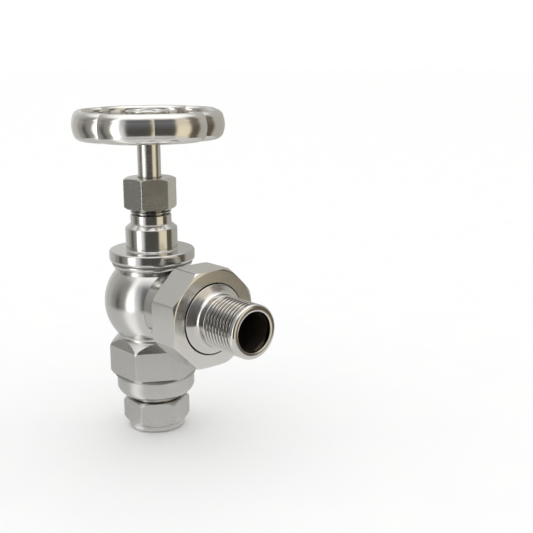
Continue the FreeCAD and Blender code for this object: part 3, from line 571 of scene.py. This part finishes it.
def add_camera():
    """Camera a little above the wheel, with the tail pointing forward and to the right."""
    back = direction(CAMERA_AZIMUTH, CAMERA_ELEVATION)
    right = Vector((0, 0, 1)).cross(back).normalized()
    up = back.cross(right)
    yaw = Matrix.Rotation(math.radians(CAMERA_YAW), 3, "Z")
    pitch = Matrix.Rotation(math.radians(CAMERA_PITCH), 3, right)
    turn = yaw @ pitch
    back, right, up = turn @ back, turn @ right, turn @ up
    roll = Matrix.Rotation(math.radians(-CAMERA_ROLL), 3, back)
    right, up = roll @ right, roll @ up
    data = bpy.data.cameras.new("camera")
    data.sensor_width = 36.0
    data.lens = CAMERA_LENS
    data.clip_start = 0.01
    camera = bpy.data.objects.new("camera", data)
    camera.matrix_world = Matrix((right, up, back)).transposed().to_4x4()
    camera.location = CAMERA_TARGET + direction(CAMERA_AZIMUTH, CAMERA_ELEVATION) * CAMERA_DISTANCE
    bpy.context.scene.collection.objects.link(camera)
    bpy.context.scene.camera = camera


def add_disc(name, radius, height, material):
    """A level disc of the studio."""
    mesh = bpy.data.meshes.new(name)
    turns = [2 * math.pi * i / DISC_SIDES for i in range(DISC_SIDES)]
    rim = [(math.cos(t) * radius, math.sin(t) * radius, 0) for t in turns]
    mesh.from_pydata(rim, [], [tuple(range(DISC_SIDES))])
    mesh.materials.append(material)
    disc = bpy.data.objects.new(name, mesh)
    disc.location.z = height
    bpy.context.scene.collection.objects.link(disc)
    return disc


def add_floor(height):
    """A pale matt floor that the metal doesn't reflect."""
    shader = Shader("floor", FLOOR_COLOURS[1], 0.0, 0.75)
    x, y, z = shader.place()
    grain = shader.noise(shader.combine(x, y, z), FLOOR_GRAIN)
    colour = shader.blend(shader.spread(grain, 0.0, 1.0), *FLOOR_COLOURS)
    shader.put(colour, shader.surface.inputs["Base Color"])
    floor = add_disc("floor", FLOOR_RADIUS, height, shader.material)
    floor.visible_glossy = False


def add_table_top(height):
    """The small grey table top that shows in the metal instead of the floor."""
    shader = Shader("table", TABLE_FRONT, 0.0, 0.8)
    x, y, z = shader.place()
    radius = shader.maths("MAXIMUM", radius_about(shader, x, y), TABLE_MIDDLE)

    def facing(angle):
        """Cosine of the angle between a point of the table and that many degrees to the camera's right."""
        way = direction(CAMERA_AZIMUTH + angle, 0)
        ahead = shader.maths("ADD", shader.maths("MULTIPLY", x, way.x), shader.maths("MULTIPLY", y, way.y))
        return shader.maths("DIVIDE", ahead, radius)

    near = shader.spread(facing(TABLE_AZIMUTH), 0.0, 1.0, *TABLE_CHANGE)
    shader.put(shader.blend(near, TABLE_BACK, TABLE_FRONT), shader.surface.inputs["Base Color"])
    edges = [math.cos(math.radians(angle)) for angle in POOL_EDGE]
    pool = shader.spread(facing(POOL_AZIMUTH), 0.0, POOL_LIGHT, *edges)
    shader.surface.inputs["Emission Color"].default_value = (1, 1, 1, 1)
    shader.put(pool, shader.surface.inputs["Emission Strength"])
    top = add_disc("table_top", TABLE_RADIUS, height, shader.material)
    top.visible_camera = False
    top.visible_diffuse = False
    top.visible_shadow = False


def add_softbox(name, azimuth, elevation, distance, side, power):
    """A square studio light aimed at the middle of the valve, for the valve alone and unseen in the metal."""
    data = bpy.data.lights.new(name, "AREA")
    data.shape = "SQUARE"
    data.size = side
    data.energy = power
    light = bpy.data.objects.new(name, data)
    back = direction(azimuth, elevation)
    light.location = LIGHT_TARGET + back * distance
    light.rotation_euler = back.to_track_quat("Z", "Y").to_euler()
    bpy.context.scene.collection.objects.link(light)
    light.light_linking.receiver_collection = lit_by_softboxes
    light.visible_glossy = False


def add_world():
    """White background, and for the metal a dark room with white and beige screens round the valve."""
    world = bpy.data.worlds.new("studio")
    bpy.context.scene.world = world
    world.use_nodes = True
    nodes, links = world.node_tree.nodes, world.node_tree.links
    nodes.clear()

    def maths(operation, first, second):
        node = nodes.new("ShaderNodeMath")
        node.operation = operation
        for value, socket in zip((first, second), node.inputs):
            if isinstance(value, bpy.types.NodeSocket):
                links.new(value, socket)
            else:
                socket.default_value = value
        return node.outputs[0]

    def ramp(value, stops):
        node = nodes.new("ShaderNodeValToRGB")
        links.new(value, node.inputs["Fac"])
        elements = node.color_ramp.elements
        while len(elements) < len(stops):
            elements.new(1.0)
        for element, (position, colour) in zip(elements, stops):
            element.position = position
            element.color = (*colour, 1)
        return node.outputs["Color"]

    texture = nodes.new("ShaderNodeTexCoord")
    split = nodes.new("ShaderNodeSeparateXYZ")
    links.new(texture.outputs["Generated"], split.inputs[0])
    x, y, z = split.outputs
    turn = math.radians(CAMERA_AZIMUTH)
    sine, cosine = math.sin(turn), math.cos(turn)
    towards = maths("SUBTRACT", maths("MULTIPLY", x, sine), maths("MULTIPLY", y, cosine))
    right = maths("ADD", maths("MULTIPLY", x, cosine), maths("MULTIPLY", y, sine))
    azimuth = maths("ADD", maths("DIVIDE", maths("ARCTAN2", right, towards), 2 * math.pi), 0.5)
    height = maths("ADD", maths("MULTIPLY", z, 0.5), 0.5)

    def screens(level):
        edge = SCREEN_EDGE / 360
        stops = []
        for start, end, *colours in SCREENS:
            stops.append((start / 360 + 0.5 + edge / 2, colours[level]))
            stops.append((end / 360 + 0.5 - edge / 2, colours[level]))
        return ramp(azimuth, stops)

    def share(steps):
        return ramp(height, [(0.5 + 0.5 * math.sin(math.radians(e)), (f, f, f)) for e, f in steps])

    def mix(factor, first, second):
        node = nodes.new("ShaderNodeMix")
        node.data_type = "RGBA"
        links.new(factor, node.inputs["Factor"])
        links.new(first, node.inputs["A"])
        if isinstance(second, tuple):
            node.inputs["B"].default_value = (*second, 1)
        else:
            links.new(second, node.inputs["B"])
        return node.outputs["Result"]

    around = mix(share(LOW_TO_HIGH), screens(0), screens(1))
    seen = mix(share(HIGH_TO_OVERHEAD), around, OVERHEAD)

    room = nodes.new("ShaderNodeBackground")
    links.new(seen, room.inputs["Color"])
    plain = nodes.new("ShaderNodeBackground")
    plain.inputs["Color"].default_value = (1, 1, 1, 1)
    plain.inputs["Strength"].default_value = BACKGROUND_STRENGTH
    path = nodes.new("ShaderNodeLightPath")
    choice = nodes.new("ShaderNodeMixShader")
    links.new(path.outputs["Is Glossy Ray"], choice.inputs["Fac"])
    links.new(plain.outputs[0], choice.inputs[1])
    links.new(room.outputs[0], choice.inputs[2])
    output = nodes.new("ShaderNodeOutputWorld")
    links.new(choice.outputs[0], output.inputs["Surface"])


lit_by_softboxes = bpy.data.collections.new("valve")
for node in frame["nodes"].values():
    lit_by_softboxes.objects.link(node)
lit_by_softboxes.objects.link(tail)
floor_height = cad_box[0].z - FLOOR_GAP
add_camera()
add_floor(floor_height)
add_table_top(floor_height - TABLE_DROP)
add_world()
add_softbox("key", KEY_AZIMUTH, elevation=50, distance=0.9, side=0.6, power=2.0)
bpy.context.scene.view_settings.view_transform = "Standard"
